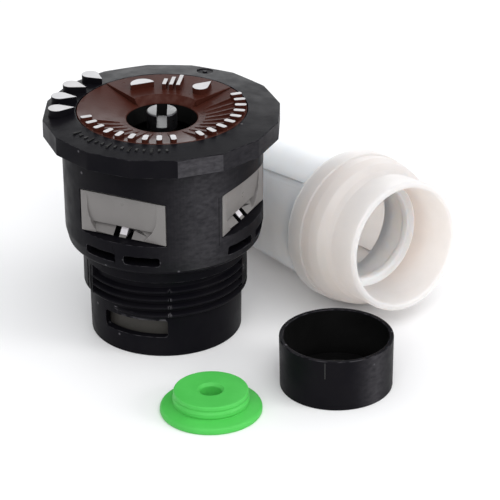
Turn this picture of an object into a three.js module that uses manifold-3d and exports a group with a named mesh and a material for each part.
// Pop-up spray nozzle kit: an adjustable half-circle nozzle standing on its threaded base, with its filter
// screen, its retaining collar and its flow disc lying beside it on the same flat surface.
//
// Millimetres, +Z up. The nozzle is designed about its own axis, with its base face at height 0. Angles are
// in degrees, measured from the front (-Y) towards +X. The finished kit is moved so that the middle of its
// footprint is at the origin.

import * as THREE from 'three';
import { mergeVertices } from 'three/addons/utils/BufferGeometryUtils.js';
import Module from 'manifold-3d';

const wasm = await Module();
wasm.setup();

// ---------------------------------------------------------------- driving dimensions

const FACETS = 48; // facets round the nozzle's outer pieces
const INNER_FACETS = 32; // facets round its inner pieces and the loose ones
const SMALL_FACETS = 24; // facets round the screw and what it turns in
const GAP = 0.3; // clearance between separate pieces
const OVERLAP = 0.1; // how far shapes run into each other where they are joined into one piece
const FAR = 20; // reach of a cutting tool past the piece it cuts

const flange = { sides: 16, cornerRadius: 12.5, firstCorner: 8.6, underside: 22.76, edge: 24.75, slope: 0.1 };
const skirt = { bottom: 10.3, foot: 9.35, cornerTop: 12.3, lowRadius: 10.5, topRadius: 10.6, top: 23.2 };
const deck = { boreRadius: 9.0, underside: 21.4, holeRadius: 4.6, recessFloor: 23.6, recessRadius: 9.0 };

const sprayCentre = 19.6; // middle of the half-circle that the nozzle waters
const chipAngles = { left: sprayCentre - 45, right: sprayCentre + 45 };
const chipWindow = { bottom: 14.15, top: 18.9, halfWidth: 4.97, face: 9.31, ceilingAngle: 30 };
const vent = { bottom: 11.8, top: 12.8, halfWidth: 1.93, offset: 13.4 };

const base = { radius: 8.13, bottomRadius: 8.05, tubeTop: 5.0 };
const baseBore = { radius: 7.25, top: 9.1, throatRadius: 5.2 };
const baseCollar = { radius: 8.73, bottom: 8.75, chamferTop: 9.05, top: 10.15 };
const baseNeck = { radius: 8.3, shoulder: 11.3, slimRadius: 7.4, slimBottom: 11.5, top: 13.2 };
const baseThread = { pitch: 0.94, crestRadius: 8.73, rootRadius: 7.95, firstCrest: 5.08 };
const baseThreadSpan = { start: -50, turns: 4 };
const partingBand = { centre: 95, halfAngle: 25, innerRadius: 7.45, bottom: 5.2, fullWidth: 5.8, top: 9.85 };
const basePort = { centre: -24, halfAngle: 28, bottom: 2.3, top: 4.25 };

const cap = { radius: 8.9, bottom: 23.7, edge: 25.1, rimRadius: 3.75, rim: 24.05 };
const capWell = { radius: 3.4, bottom: 22.3, outerRadius: 4.3 };
const legend = { from: 126.3, to: 222.5, innerRadius: 4.4, inner: 24.78, radius: 6.65, top: 25.5 };
const legendHalfCircle = { angle: -159, radius: 1.3 };
const legendBars = { angle: 171, pitch: 0.75, width: 0.45, foot: -1.3, shortest: 1.5, step: 0.6 };
const legendDrop = { angle: 140, size: 0.85 };
const tick = { count: 9, pitch: 10, innerRadius: 7.6, outerRadius: 8.85, width: 0.62, top: 25.5 };
const tickRib = { innerRadius: 4.6, outerRadius: 7.8, width: 0.24, height: 0.3 };
const flangeMark = { count: 4, first: -134.6, pitch: 16.8, radius: 10.45, size: 0.9, top: 25.75 };

const chip = { back: 5.85, clearance: 0.08, rampDepth: 0.35, rampFoot: 15.3, pocketDepth: 1.05, feed: 1.0 };
const chipShield = { left: 4.15, right: 3.85, shoulder: 17.0, footLeft: 3.05, footRight: 2.05, lip: 0.05 };
const chipPost = { middle: -0.15, halfWidth: 0.4, top: 15.4, proud: 0.12, slotWidth: 0.65, slotTop: 15.25 };

const core = { radius: 5.5, boreRadius: 4.0, boreTop: 18.3, top: 21.1 };
const coreDisc = { bottom: 13.3, top: 13.9, radius: 8.8 };
const coreSpigot = { bottom: 10.4, radius: 4.9 };
const coreGuide = { innerRadius: 3.05, thickness: 0.9 };
const corePort = { halfWidth: 1.2, bottom: 15.0, top: 17.4, near: 2.5 };
const coreBoss = { halfWidth: 2.3, near: 4.5, far: 5.5 };
const coreSeal = { seatRadius: 6.0, seatFloor: 12.25, radius: 5.5, height: 12.75, thickness: 0.8 };
const bushSeat = { radius: 2.6, floor: 18.9, drillRadius: 1.5 };
const bush = { radius: 2.5, bottom: 19.95, top: 21.12, boreRadius: 1.45, boreTop: 20.9, mouthRadius: 1.7 };
const screwSeal = { radius: 1.92, height: 19.42, thickness: 0.9 };

const sleeve = { bottom: 0.6, top: 7.7, outerRadius: 7.1, innerRadius: 6.4 };
const seat = { bottom: 7.8, top: 8.9, outerRadius: 7.05, holeRadius: 3.2, chamfer: 0.6 };
const plug = { tip: 9.6, tipRadius: 1.2, coneTop: 11.2, radius: 2.6, top: 13.2 };
const plugBore = { radius: 1.5, floor: 10.5 };
const plugWing = { count: 4, root: 2.2, reach: 3.7, thickness: 0.8, bottom: 11.5 };
const screw = { end: 10.9, shank: 1.0, headBottom: 23.0, headTop: 24.9, headRadius: 1.6, chamfer: 0.15 };
const screwSlot = { width: 1.08, floor: 23.55 };
const screwThread = { pitch: 0.5, crestRadius: 1.25, rootRadius: 0.95, bottom: 17.2, turns: 7 };
const clip = { bottom: 13.25, top: 13.6, innerRadius: 1.04, outerRadius: 1.9, mouth: 0.7 };

// The filter is designed with the middle of its mouth at height 0. Depths are counted back from the mouth.
const filterPose = { mouth: [25.55, -1.25, 9.29], facing: 36, tilt: 6 };
const filterMouth = { radius: 7.15, chamfer: 0.15, waist: 7.05, waistDepth: 3.7, boreRadius: 6.4 };
const filterShelf = { depth: 6.0, boreRadius: 6.05, throatRadius: 5.2, throatEnd: 7.0 };
const filterBulge = { radius: 7.35, depth: 4.4, shoulderRadius: 7.85, shoulderDepth: 5.2 };
const filterDrum = { radius: 8.12, depth: 6.1 };
const filterFlange = { lead: 8.15, leadDepth: 7.5, front: 7.65, back: 9.85, radius: 8.3 };
const filterTail = { radius: 6.37, boreRadius: 5.9, boreStart: 7.4, end: 11.0 };
const basket = { front: 10.15, back: 32.6, frontRadius: 7.47, backRadius: 5.85, wall: 0.8 };
const basketWindow = { front: 11.2, back: 30.8, halfAngle: 50 };
const screen = { front: 11.5, back: 30.5, halfAngle: 47.5, outerDrop: 0.25, innerDrop: 0.6 };
const endCap = { back: 33.85, front: 32.9, radius: 5.72, chamfer: 0.3, spigotRadius: 4.75, spigotEnd: 31.2 };

const collar = { centre: [17.88, -14.04], bottomRadius: 5.85, topRadius: 5.93, wall: 0.46, height: 5.69 };
const collarLip = { radius: 3.8, height: 0.6 };
const disc = { centre: [4.95, -19.4], radius: 5.25, chamfer: 0.2, edgeTop: 0.42 };
const discShoulder = { radius: 4.9, height: 0.62, innerRadius: 4.08, innerHeight: 0.9 };
const discCrease = { radius: 3.8, height: 1.0, top: 1.15 };
const discBoss = { footRadius: 3.95, footTop: 1.55, waistRadius: 3.79, waistHeight: 1.84 };
const discHead = { radius: 3.86, bottom: 1.98, chamferBottom: 2.14, top: 2.42, chamfer: 0.38 };
const discHole = { radius: 1.1, mouthRadius: 1.32, mouthDepth: 0.3 };

// ---------------------------------------------------------------- materials

const plastic = (color, roughness) => new THREE.MeshStandardMaterial({ color, roughness, metalness: 0 });

const blackPlastic = plastic(0x1c1c20, 0.45);
const brownPlastic = plastic(0x4b2d26, 0.5);
const greyPlastic = plastic(0xaaa5a0, 0.4);
const sleevePlastic = plastic(0x3c3836, 0.6);
const corePlastic = plastic(0x26262a, 0.5);
const sealRubber = plastic(0x141414, 0.8);
const filterPlastic = plastic(0xe4dcd4, 0.35);
const discRubber = plastic(0x46d25a, 0.6);
const steel = new THREE.MeshStandardMaterial({ color: 0xb8b8b8, roughness: 0.3, metalness: 1 });
const brass = new THREE.MeshStandardMaterial({ color: 0xb58d45, roughness: 0.35, metalness: 1 });

// ---------------------------------------------------------------- solids

// A three.js geometry as a manifold-3d solid: shared corners merged, slivers dropped, faces pointing out.
function toSolid(geometry) {
  const bare = geometry.clone();
  bare.deleteAttribute('normal');
  bare.deleteAttribute('uv');
  const merged = mergeVertices(bare, 1e-5);
  const corners = Float32Array.from(merged.attributes.position.array);
  const triangles = [];
  let sixVolumes = 0;
  for (let i = 0; i < merged.index.count; i += 3) {
    const [a, b, c] = [0, 1, 2].map((k) => merged.index.getX(i + k));
    if (a === b || b === c || c === a) continue;
    triangles.push(a, b, c);
    const [p, q, r] = [a, b, c].map((k) => new THREE.Vector3().fromArray(corners, 3 * k));
    sixVolumes += p.dot(q.cross(r));
  }
  if (sixVolumes < 0) triangles.reverse();
  const mesh = new wasm.Mesh({ numProp: 3, vertProperties: corners, triVerts: Uint32Array.from(triangles) });
  return new wasm.Manifold(mesh);
}

function toGeometry(solid) {
  const mesh = solid.getMesh();
  const geometry = new THREE.BufferGeometry();
  geometry.setAttribute('position', new THREE.BufferAttribute(mesh.vertProperties, 3));
  geometry.setIndex(new THREE.BufferAttribute(mesh.triVerts, 1));
  geometry.computeVertexNormals();
  return geometry;
}

const combine = (operation, first, others) =>
  toGeometry(others.reduce((solid, other) => solid[operation](toSolid(other)), toSolid(first)));
const join = (first, ...others) => combine('add', first, others);
const cut = (first, ...others) => combine('subtract', first, others);
const common = (first, ...others) => combine('intersect', first, others);

const radians = THREE.MathUtils.degToRad;
const turned = (geometry, angle) => geometry.rotateZ(radians(angle));

// A turned piece about Z: the profile is a closed loop of [radius, height].
function revolve(profile, facets = FACETS, firstAngle = 0) {
  const loop = [...profile, profile[0]].map(([radius, height]) => new THREE.Vector2(radius, height));
  const geometry = new THREE.LatheGeometry(loop, facets);
  geometry.rotateX(Math.PI / 2);
  return turned(geometry, firstAngle);
}

const cylinder = (radius, bottom, top) => revolve([[0, bottom], [radius, bottom], [radius, top], [0, top]]);

const outlineOf = (points) => new THREE.Shape(points.map(([x, y]) => new THREE.Vector2(x, y)));

// A flat outline given height: a shape seen from above, between two heights.
function prism(shape, bottom, top) {
  const options = { depth: top - bottom, bevelEnabled: false, curveSegments: 8 };
  return new THREE.ExtrudeGeometry(shape, options).translate(0, 0, bottom);
}

// An outline of [distance from the axis, height] in the plane facing the front, given a thickness across it.
function radialPlate(points, thickness) {
  const options = { depth: thickness, bevelEnabled: false };
  const geometry = new THREE.ExtrudeGeometry(outlineOf(points), options).translate(0, 0, -thickness / 2);
  const outward = new THREE.Vector3(0, -1, 0);
  const up = new THREE.Vector3(0, 0, 1);
  return geometry.applyMatrix4(new THREE.Matrix4().makeBasis(outward, up, outward.clone().cross(up)));
}

// An outline of [across, height] seen from the front, between two distances from the axis.
function facePrism(points, near, far) {
  const options = { depth: far - near, bevelEnabled: false };
  const geometry = new THREE.ExtrudeGeometry(outlineOf(points), options).translate(0, 0, near);
  const across = new THREE.Vector3(1, 0, 0);
  const up = new THREE.Vector3(0, 0, 1);
  return geometry.applyMatrix4(new THREE.Matrix4().makeBasis(across, up, across.clone().cross(up)));
}

const rectangle = (halfWidth, bottom, top) => [
  [-halfWidth, bottom], [halfWidth, bottom], [halfWidth, top], [-halfWidth, top],
];

// A pie slice about Z between two angles less than 180 degrees apart.
function wedge(from, to, bottom, top) {
  const steps = 8;
  const rim = Array.from({ length: steps + 1 }, (_, i) => radians(from + ((to - from) * i) / steps));
  return prism(outlineOf([[0, 0], ...rim.map((a) => [FAR * Math.sin(a), -FAR * Math.cos(a)])]), bottom, top);
}

// A right-hand thread's ridge about Z: a blunt V swept along a helix, with closed ends.
function threadRidge({ pitch, crestRadius, rootRadius }, firstHeight, firstAngle, turns, stepsPerTurn) {
  const section = [
    [rootRadius, -0.44 * pitch],
    [crestRadius, -0.08 * pitch],
    [crestRadius, 0.08 * pitch],
    [rootRadius, 0.44 * pitch],
  ];
  const steps = turns * stepsPerTurn;
  const corners = [];
  const triangles = [];
  for (let i = 0; i <= steps; i += 1) {
    const angle = radians(firstAngle + (360 * i) / stepsPerTurn);
    const height = firstHeight + (pitch * i) / stepsPerTurn;
    section.forEach(([radius, rise]) => {
      corners.push(radius * Math.sin(angle), -radius * Math.cos(angle), height + rise);
    });
  }
  const sides = section.length;
  for (let i = 0; i < steps; i += 1) {
    for (let j = 0; j < sides; j += 1) {
      const here = i * sides + j;
      const beside = i * sides + ((j + 1) % sides);
      triangles.push(here, here + sides, beside, beside, here + sides, beside + sides);
    }
  }
  const last = steps * sides;
  triangles.push(0, 1, 2, 0, 2, 3, last, last + 2, last + 1, last, last + 3, last + 2);
  const geometry = new THREE.BufferGeometry();
  geometry.setAttribute('position', new THREE.Float32BufferAttribute(corners, 3));
  geometry.setIndex(triangles);
  return geometry;
}

// The round section of a rubber ring.
function ringSection({ radius, height, thickness }, sides = 8) {
  return Array.from({ length: sides }, (_, i) => {
    const angle = (2 * Math.PI * i) / sides;
    return [radius + (thickness / 2) * Math.cos(angle), height + (thickness / 2) * Math.sin(angle)];
  });
}

// Points of a quarter round from the first corner to the second, bulging away from the axis and downwards.
function roundedFoot([fromRadius, fromHeight], [toRadius, toHeight], steps = 5) {
  return Array.from({ length: steps + 1 }, (_, i) => {
    const angle = (Math.PI / 2) * (i / steps);
    return [
      fromRadius + (toRadius - fromRadius) * Math.sin(angle),
      toHeight + (fromHeight - toHeight) * Math.cos(angle),
    ];
  });
}

// ---------------------------------------------------------------- raised symbols

// A water drop with its point towards +Y.
function dropShape(size) {
  const pointReach = 2.1;
  const lean = Math.acos(1 / pointReach);
  const shape = new THREE.Shape();
  const centre = -0.55 * size;
  shape.moveTo(0, centre + pointReach * size);
  shape.absarc(0, centre, size, Math.PI / 2 + lean, Math.PI / 2 - lean + 2 * Math.PI, false);
  return shape;
}

// The half circle that the nozzle waters, flat side towards -Y.
function halfCircleShape(radius) {
  const shape = new THREE.Shape();
  shape.absarc(0, -radius / 2, radius, 0, Math.PI, false);
  return shape;
}

// One of three bars side by side: -1 is the shortest, 0 the middle one and 1 the longest.
function barShape(bar) {
  const [left, right] = [-1, 1].map((side) => bar * legendBars.pitch + (side * legendBars.width) / 2);
  const end = legendBars.foot + legendBars.shortest + (bar + 1) * legendBars.step;
  return outlineOf([[left, legendBars.foot], [right, legendBars.foot], [right, end], [left, end]]);
}

// A shape stood on the nozzle's face at a radius and an angle, with its +Y side pointing away from the axis.
function raised(shape, radius, angle, bottom, top, pointsInward = false) {
  const geometry = prism(shape, bottom, top);
  if (!pointsInward) geometry.rotateZ(Math.PI);
  return turned(geometry.translate(0, -radius, 0), angle);
}

// ---------------------------------------------------------------- nozzle: housing

function makeHousing() {
  const shell = revolve([
    [baseNeck.radius + GAP / 2, skirt.bottom],
    ...roundedFoot([skirt.foot, skirt.bottom], [skirt.lowRadius, skirt.cornerTop]),
    [skirt.topRadius, skirt.top],
    [0, skirt.top],
    [0, deck.underside],
    [deck.boreRadius, deck.underside],
    [deck.boreRadius, baseNeck.shoulder + GAP],
    [baseNeck.radius + GAP / 2, baseNeck.shoulder],
  ]);
  const flangeBlank = revolve(
    [
      [0, flange.underside],
      [flange.cornerRadius, flange.underside],
      [flange.cornerRadius, flange.edge],
      [0, flange.edge + flange.slope * flange.cornerRadius],
    ],
    flange.sides,
    flange.firstCorner,
  );
  const marks = Array.from({ length: flangeMark.count }, (_, i) =>
    raised(
      dropShape(flangeMark.size),
      flangeMark.radius,
      flangeMark.first + i * flangeMark.pitch,
      flange.edge - GAP,
      flangeMark.top,
      true,
    ));
  const ceilingRise = (FAR - chipWindow.face) * Math.tan(radians(chipWindow.ceilingAngle));
  const windows = Object.values(chipAngles).map((angle) => turned(radialPlate([
    [core.radius, chipWindow.bottom],
    [FAR, chipWindow.bottom],
    [FAR, chipWindow.top + ceilingRise],
    [chipWindow.face, chipWindow.top],
    [core.radius, chipWindow.top],
  ], 2 * chipWindow.halfWidth), angle));
  const vents = Object.values(chipAngles).flatMap((angle) => [-1, 1].map((side) => turned(
    facePrism(rectangle(vent.halfWidth, vent.bottom, vent.top), deck.boreRadius - GAP, FAR),
    angle + side * vent.offset,
  )));
  return cut(
    join(shell, flangeBlank, ...marks),
    cylinder(deck.recessRadius, deck.recessFloor, FAR + FAR),
    cylinder(deck.holeRadius, deck.underside - 1, FAR + FAR),
    ...windows,
    ...vents,
  );
}

// ---------------------------------------------------------------- nozzle: threaded base and inlet

function makeThreadedBase() {
  const tube = revolve([
    [base.bottomRadius, 0],
    [base.radius, base.tubeTop],
    [base.radius, baseCollar.bottom],
    [baseCollar.radius, baseCollar.chamferTop],
    [baseCollar.radius, baseCollar.top],
    [baseNeck.radius, baseCollar.top],
    [baseNeck.radius, baseNeck.shoulder],
    [baseNeck.slimRadius, baseNeck.slimBottom],
    [baseNeck.slimRadius, baseNeck.top],
    [coreSeal.seatRadius, baseNeck.top],
    [coreSeal.seatRadius, coreSeal.seatFloor],
    [baseBore.throatRadius, coreSeal.seatFloor],
    [baseBore.throatRadius, baseBore.top],
    [baseBore.radius, baseBore.top],
    [baseBore.radius, 0],
  ]);
  const ridge = threadRidge(
    baseThread,
    baseThread.firstCrest + (baseThread.pitch * baseThreadSpan.start) / 360,
    baseThreadSpan.start,
    baseThreadSpan.turns,
    FACETS / 2,
  );
  const bandRing = revolve([
    [partingBand.innerRadius, partingBand.bottom],
    [base.radius, partingBand.bottom],
    [baseCollar.radius, partingBand.fullWidth],
    [baseCollar.radius, partingBand.top],
    [partingBand.innerRadius, partingBand.top],
  ]);
  const bands = [0, 180].map((side) => common(bandRing, wedge(
    partingBand.centre + side - partingBand.halfAngle,
    partingBand.centre + side + partingBand.halfAngle,
    0,
    baseCollar.top,
  )));
  const port = common(
    revolve([
      [sleeve.outerRadius, basePort.bottom],
      [FAR / 2, basePort.bottom],
      [FAR / 2, basePort.top],
      [sleeve.outerRadius, basePort.top],
    ]),
    wedge(basePort.centre - basePort.halfAngle, basePort.centre + basePort.halfAngle, 0, base.tubeTop),
  );
  return cut(join(tube, ridge, ...bands), port, turned(port.clone(), 180));
}

const makeInletSleeve = () => revolve([
  [sleeve.innerRadius, sleeve.bottom],
  [sleeve.outerRadius, sleeve.bottom],
  [sleeve.outerRadius, sleeve.top],
  [sleeve.innerRadius, sleeve.top],
], INNER_FACETS);

const makeThrottleSeat = () => revolve([
  [seat.holeRadius + seat.chamfer, seat.bottom],
  [seat.outerRadius, seat.bottom],
  [seat.outerRadius, seat.top],
  [seat.holeRadius, seat.top],
  [seat.holeRadius, seat.bottom + seat.chamfer],
], INNER_FACETS);

// ---------------------------------------------------------------- nozzle: coloured cap

// Height of the cap's dished face at a radius.
const dishHeight = (radius) =>
  cap.rim + ((cap.edge - cap.rim) * (radius - cap.rimRadius)) / (cap.radius - cap.rimRadius);

function makeArcCap() {
  const plate = revolve([
    [cap.rimRadius, cap.rim],
    [capWell.radius, capWell.bottom],
    [capWell.outerRadius, capWell.bottom],
    [capWell.outerRadius, cap.bottom],
    [cap.radius, cap.bottom],
    [cap.radius, cap.edge],
  ]);
  const pad = common(
    revolve([
      [cap.rimRadius, cap.rim],
      [cap.rimRadius, cap.bottom],
      [cap.radius, cap.bottom],
      [cap.radius, cap.edge + OVERLAP / 5],
      [legend.innerRadius, legend.inner],
    ]),
    wedge(legend.from, legend.to, 0, FAR + FAR),
  );
  const tickPost = [
    [tick.innerRadius, cap.bottom],
    [tick.outerRadius, cap.bottom],
    [tick.outerRadius, tick.top],
    [tick.innerRadius, tick.top],
  ];
  const rib = [
    [tickRib.innerRadius, cap.bottom + OVERLAP],
    [tickRib.outerRadius, cap.bottom + OVERLAP],
    [tickRib.outerRadius, dishHeight(tickRib.outerRadius) + tickRib.height],
    [tickRib.innerRadius, dishHeight(tickRib.innerRadius)],
  ];
  const ticks = [];
  for (let i = 1; i <= tick.count; i += 1) {
    [-1, 1].forEach((side) => {
      const angle = sprayCentre + side * i * tick.pitch;
      ticks.push(turned(radialPlate(tickPost, tick.width), angle));
      ticks.push(turned(radialPlate(rib, tickRib.width), angle));
    });
  }
  const onPad = (shape, angle) => raised(shape, legend.radius, angle, cap.rim, legend.top);
  return join(
    plate,
    pad,
    ...ticks,
    onPad(halfCircleShape(legendHalfCircle.radius), legendHalfCircle.angle),
    ...[-1, 0, 1].map((bar) => onPad(barShape(bar), legendBars.angle)),
    onPad(dropShape(legendDrop.size), legendDrop.angle),
  );
}

// ---------------------------------------------------------------- nozzle: spray chips

// A block that fills its window. A ramp leans out over a pocket whose floor slopes down to the block's lower
// edge. Water comes up through a slot on each side of a small post and is thrown outwards.
function makeChip(angle) {
  const half = chipWindow.halfWidth - chip.clearance;
  const bottom = chipWindow.bottom + chip.clearance;
  const top = chipWindow.top - chip.clearance;
  const face = chipWindow.face;
  const pocketBack = face - chip.pocketDepth;
  const feedFace = chip.back + chip.feed;
  const block = facePrism(rectangle(half, bottom, top), chip.back, face);
  const shield = facePrism([
    [-chipShield.footLeft, bottom - 1],
    [chipShield.footRight, bottom - 1],
    [chipShield.footRight, bottom],
    [chipShield.right, chipShield.shoulder],
    [chipShield.right, top + 1],
    [-chipShield.left, top + 1],
    [-chipShield.left, chipShield.shoulder],
    [-chipShield.footLeft, bottom],
  ], 0, FAR);
  const hollow = radialPlate([
    [face + 1, bottom + chipShield.lip],
    [face, bottom + chipShield.lip],
    [pocketBack, chip.rampFoot],
    [face - chip.rampDepth, chip.rampFoot],
    [face, top],
    [face + 1, top],
  ], 2 * half);
  const post = radialPlate([
    [feedFace, bottom],
    [face, bottom],
    [pocketBack + chipPost.proud, chip.rampFoot],
    [pocketBack + chipPost.proud, chipPost.top],
    [feedFace, chipPost.top],
  ], 2 * chipPost.halfWidth).translate(chipPost.middle, 0, 0);
  const slotShape = rectangle(chipPost.slotWidth / 2, bottom - 1, chipPost.slotTop);
  const slots = [-1, 1].map((side) => {
    const middle = chipPost.middle + side * (chipPost.halfWidth + chipPost.slotWidth / 2);
    return facePrism(slotShape, feedFace - OVERLAP, face + 1).translate(middle, 0, 0);
  });
  const feed = facePrism(rectangle(corePort.halfWidth, bottom - 1, corePort.top), 0, feedFace);
  return turned(cut(join(cut(block, common(shield, hollow)), post), ...slots, feed), angle);
}

// ---------------------------------------------------------------- nozzle: flow core

function makeFlowCore() {
  const body = revolve([
    [core.boreRadius, coreSpigot.bottom],
    [coreSpigot.radius, coreSpigot.bottom],
    [coreSpigot.radius, coreDisc.bottom],
    [coreDisc.radius, coreDisc.bottom],
    [coreDisc.radius, coreDisc.top],
    [core.radius, coreDisc.top],
    [core.radius, core.top],
    [bushSeat.radius, core.top],
    [bushSeat.radius, bushSeat.floor],
    [bushSeat.drillRadius, bushSeat.floor],
    [bushSeat.drillRadius, core.boreTop],
    [core.boreRadius, core.boreTop],
  ], INNER_FACETS);
  const bosses = Object.values(chipAngles).map((angle) => turned(facePrism(
    rectangle(coreBoss.halfWidth, coreDisc.top - OVERLAP, core.boreTop),
    coreBoss.near,
    coreBoss.far,
  ), angle));
  const ports = Object.values(chipAngles).map((angle) => turned(facePrism(
    rectangle(corePort.halfWidth, corePort.bottom, corePort.top),
    corePort.near,
    FAR,
  ), angle));
  const guides = [0, 180].map((side) => turned(radialPlate([
    [coreGuide.innerRadius, coreSpigot.bottom],
    [core.boreRadius + OVERLAP, coreSpigot.bottom],
    [core.boreRadius + OVERLAP, core.boreTop + OVERLAP],
    [coreGuide.innerRadius, core.boreTop + OVERLAP],
  ], coreGuide.thickness), sprayCentre + side));
  return cut(join(body, ...bosses, ...guides), ...ports);
}

const makeCoreSeal = () => revolve(ringSection(coreSeal), INNER_FACETS);

// ---------------------------------------------------------------- nozzle: radius screw and throttle

function makeThrottlePlug() {
  const body = revolve([
    [0, plug.tip],
    [plug.tipRadius, plug.tip],
    [plug.radius, plug.coneTop],
    [plug.radius, plug.top],
    [plugBore.radius, plug.top],
    [plugBore.radius, plugBore.floor],
    [0, plugBore.floor],
  ], SMALL_FACETS);
  const wings = Array.from({ length: plugWing.count }, (_, i) => turned(radialPlate([
    [plugWing.root, plugWing.bottom],
    [plugWing.reach, plugWing.bottom],
    [plugWing.reach, plug.top],
    [plugWing.root, plug.top],
  ], plugWing.thickness), chipAngles.left + (360 * i) / plugWing.count));
  return join(body, ...wings);
}

function makeRadiusScrew() {
  const body = revolve([
    [0, screw.end],
    [screw.shank, screw.end],
    [screw.shank, screw.headBottom],
    [screw.headRadius, screw.headBottom],
    [screw.headRadius, screw.headTop - screw.chamfer],
    [screw.headRadius - screw.chamfer, screw.headTop],
    [0, screw.headTop],
  ], SMALL_FACETS);
  const ridge = threadRidge(screwThread, screwThread.bottom, 0, screwThread.turns, SMALL_FACETS / 2);
  const driverSlot = radialPlate([
    [-FAR, screwSlot.floor],
    [FAR, screwSlot.floor],
    [FAR, screw.headTop + 1],
    [-FAR, screw.headTop + 1],
  ], screwSlot.width);
  return cut(join(body, ridge), driverSlot);
}

const makeScrewBush = () => revolve([
  [bush.boreRadius, bush.bottom],
  [bush.radius, bush.bottom],
  [bush.radius, bush.top],
  [bush.mouthRadius, bush.top],
  [bush.boreRadius, bush.boreTop],
], SMALL_FACETS);

const makeScrewSeal = () => revolve(ringSection(screwSeal), SMALL_FACETS);

function makePlugClip() {
  const ring = revolve([
    [clip.innerRadius, clip.bottom],
    [clip.outerRadius, clip.bottom],
    [clip.outerRadius, clip.top],
    [clip.innerRadius, clip.top],
  ], SMALL_FACETS);
  const mouth = facePrism(rectangle(clip.mouth, clip.bottom - 1, clip.top + 1), 0, FAR);
  return cut(ring, mouth);
}

// ---------------------------------------------------------------- filter

const basketRadius = (depth) => basket.frontRadius
  + ((basket.backRadius - basket.frontRadius) * (depth - basket.front)) / (basket.back - basket.front);

function makeFilterNeck() {
  const depths = [
    [filterMouth.boreRadius, 0],
    [filterMouth.radius - filterMouth.chamfer, 0],
    [filterMouth.radius, filterMouth.chamfer],
    [filterMouth.waist, filterMouth.waistDepth],
    [filterBulge.radius, filterBulge.depth],
    [filterBulge.shoulderRadius, filterBulge.shoulderDepth],
    [filterDrum.radius, filterDrum.depth],
    [filterFlange.lead, filterFlange.leadDepth],
    [filterFlange.radius, filterFlange.front],
    [filterFlange.radius, filterFlange.back],
    [filterTail.radius, filterFlange.back],
    [filterTail.radius, filterTail.end],
    [filterTail.boreRadius, filterTail.end],
    [filterTail.boreRadius, filterTail.boreStart],
    [filterShelf.throatRadius, filterShelf.throatEnd],
    [filterShelf.throatRadius, filterShelf.depth],
    [filterShelf.boreRadius, filterShelf.depth],
  ];
  return revolve(depths.map(([radius, depth]) => [radius, -depth]), INNER_FACETS);
}

function makeBasket() {
  const tube = revolve([
    [basket.frontRadius, -basket.front],
    [basket.backRadius, -basket.back],
    [basket.backRadius - basket.wall, -basket.back],
    [basket.frontRadius - basket.wall, -basket.front],
  ], INNER_FACETS);
  const openings = [90, -90].map((angle) => wedge(
    angle - basketWindow.halfAngle,
    angle + basketWindow.halfAngle,
    -basketWindow.back,
    -basketWindow.front,
  ));
  return cut(tube, ...openings);
}

function makeFilterScreen(angle) {
  const sheet = revolve([
    [basketRadius(screen.front) - screen.outerDrop, -screen.front],
    [basketRadius(screen.back) - screen.outerDrop, -screen.back],
    [basketRadius(screen.back) - screen.innerDrop, -screen.back],
    [basketRadius(screen.front) - screen.innerDrop, -screen.front],
  ], INNER_FACETS);
  const [from, to] = [angle - screen.halfAngle, angle + screen.halfAngle];
  return common(sheet, wedge(from, to, -screen.back, -screen.front));
}

const makeFilterEndCap = () => revolve([
  [0, -endCap.back],
  [endCap.radius - endCap.chamfer, -endCap.back],
  [endCap.radius, -endCap.back + endCap.chamfer],
  [endCap.radius, -endCap.front],
  [endCap.spigotRadius, -endCap.front],
  [endCap.spigotRadius, -endCap.spigotEnd],
  [0, -endCap.spigotEnd],
], INNER_FACETS);

// ---------------------------------------------------------------- collar and flow disc

const makeCollar = () => revolve([
  [collarLip.radius, 0],
  [collar.bottomRadius, 0],
  [collar.topRadius, collar.height],
  [collar.topRadius - collar.wall, collar.height],
  [collar.bottomRadius - collar.wall, collarLip.height],
  [collarLip.radius, collarLip.height],
], INNER_FACETS);

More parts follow.
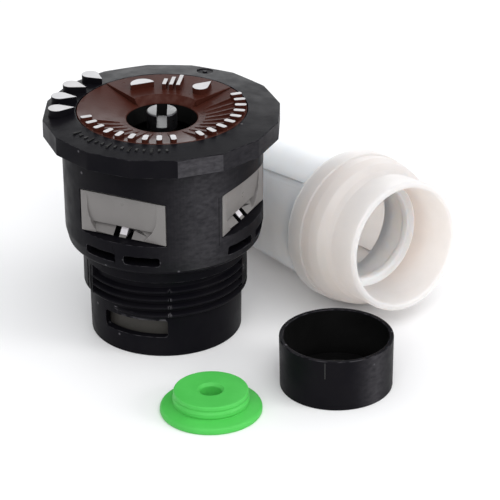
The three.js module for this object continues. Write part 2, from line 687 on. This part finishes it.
const makeFlowDisc = () => revolve([
  [discHole.radius, 0],
  [disc.radius - disc.chamfer, 0],
  [disc.radius, disc.chamfer],
  [disc.radius, disc.edgeTop],
  [discShoulder.radius, discShoulder.height],
  [discShoulder.innerRadius, discShoulder.innerHeight],
  [discCrease.radius, discCrease.height],
  [discBoss.footRadius, discCrease.top],
  [discBoss.footRadius, discBoss.footTop],
  [discBoss.waistRadius, discBoss.waistHeight],
  [discHead.radius, discHead.bottom],
  [discHead.radius, discHead.chamferBottom],
  [discHead.radius - discHead.chamfer, discHead.top],
  [discHole.mouthRadius, discHead.top],
  [discHole.radius, discHead.top - discHole.mouthDepth],
], INNER_FACETS);

// ---------------------------------------------------------------- the kit

function piece(name, geometry, material) {
  const mesh = new THREE.Mesh(toGeometry(toSolid(geometry)), material);
  mesh.name = name;
  return mesh;
}

const nozzle = new THREE.Group();
nozzle.add(
  piece('nozzle_housing', makeHousing(), blackPlastic),
  piece('threaded_base', makeThreadedBase(), blackPlastic),
  piece('inlet_sleeve', makeInletSleeve(), sleevePlastic),
  piece('throttle_seat', makeThrottleSeat(), corePlastic),
  piece('arc_cap', makeArcCap(), brownPlastic),
  piece('spray_chip_left', makeChip(chipAngles.left), greyPlastic),
  piece('spray_chip_right', makeChip(chipAngles.right), greyPlastic),
  piece('flow_core', makeFlowCore(), corePlastic),
  piece('core_seal', makeCoreSeal(), sealRubber),
  piece('screw_bush', makeScrewBush(), brass),
  piece('screw_seal', makeScrewSeal(), sealRubber),
  piece('throttle_plug', makeThrottlePlug(), corePlastic),
  piece('radius_screw', makeRadiusScrew(), steel),
  piece('plug_clip', makePlugClip(), steel),
);

const filter = new THREE.Group();
filter.add(
  piece('filter_neck', makeFilterNeck(), filterPlastic),
  piece('filter_basket', makeBasket(), filterPlastic),
  piece('filter_screen_left', makeFilterScreen(-90), filterPlastic),
  piece('filter_screen_right', makeFilterScreen(90), filterPlastic),
  piece('filter_end_cap', makeFilterEndCap(), filterPlastic),
);
filter.position.set(...filterPose.mouth);
filter.rotation.set(radians(90 - filterPose.tilt), 0, radians(filterPose.facing), 'ZYX');

const retainingCollar = piece('retaining_collar', makeCollar(), blackPlastic);
retainingCollar.position.set(...collar.centre, 0);

const flowDisc = piece('flow_disc', makeFlowDisc(), discRubber);
flowDisc.position.set(...disc.centre, 0);

const kit = new THREE.Group();
kit.add(nozzle, filter, retainingCollar, flowDisc);
kit.updateMatrixWorld(true);

const footprint = new THREE.Box3().setFromObject(kit, true).getCenter(new THREE.Vector3());
kit.position.set(-footprint.x, -footprint.y, 0);

export default kit;
